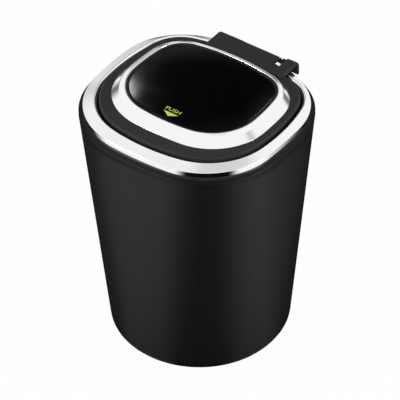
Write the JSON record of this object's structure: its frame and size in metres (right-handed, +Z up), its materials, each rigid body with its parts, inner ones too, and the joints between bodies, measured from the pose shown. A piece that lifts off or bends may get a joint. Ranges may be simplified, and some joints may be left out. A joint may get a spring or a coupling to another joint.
{
  "type": "car ashtray",
  "caption": "Tapered cup ashtray for a car cup holder, with a chromed rim, a push-to-open hinged lid and a steel liner",
  "frame": {"origin": "middle of the flat foot that the cup stands on", "axes": "+Z up the cup, -Y towards the pushed edge of the lid, +Y towards the hinge, +X to the right"},
  "size_m": [0.085, 0.0841, 0.112],
  "materials": {
    "black_plastic": "fine matte grain",
    "lid_plastic": "satin, dark grey",
    "chrome_plate": "bright plating on moulded plastic",
    "gloss_black": "high gloss, tinted",
    "silicone": "dull dark grey",
    "sheet_steel": "brushed",
    "spring_steel": "drawn wire",
    "inner_plastic": "as moulded"
  },
  "bodies": {
    "cup": {"cup_shell": "black_plastic", "ash_liner": "sheet_steel"},
    "collar": {"collar": "black_plastic", "collar_seal": "silicone", "rim_ring": "chrome_plate", "mouth_trim": "sheet_steel", "latch_housing": "inner_plastic", "latch_screws": "spring_steel", "latch_spring": "spring_steel", "hinge_pin": "spring_steel", "hinge_spring": "spring_steel"},
    "lid": {"lid_plate": "lid_plastic", "lid_bezel": "chrome_plate", "lens_gasket": "silicone", "lid_lens": "gloss_black", "latch_striker": "inner_plastic", "lid_plug": "inner_plastic", "lid_seal": "silicone", "heat_shield": "sheet_steel", "lid_screws": "spring_steel"},
    "latch": {"latch_slider": "inner_plastic"}
  },
  "joints": [
    {"name": "collar_lift", "type": "slide", "parent": "cup", "child": "collar", "axis": [0, 0, 1], "range_m": [0, 0.03]},
    {"name": "lid_hinge", "type": "hinge", "parent": "collar", "child": "lid", "pos_m": [0, 0.042, 0.1013], "axis": [-1, 0, 0], "range_deg": [-1, 95], "deforming": ["hinge_spring"]},
    {"name": "latch_push", "type": "slide", "parent": "collar", "child": "latch", "axis": [0, 0, 1], "range_m": [-0.0015, 0], "stiffness_N_per_m": 250, "deforming": ["latch_spring"]}
  ]
}
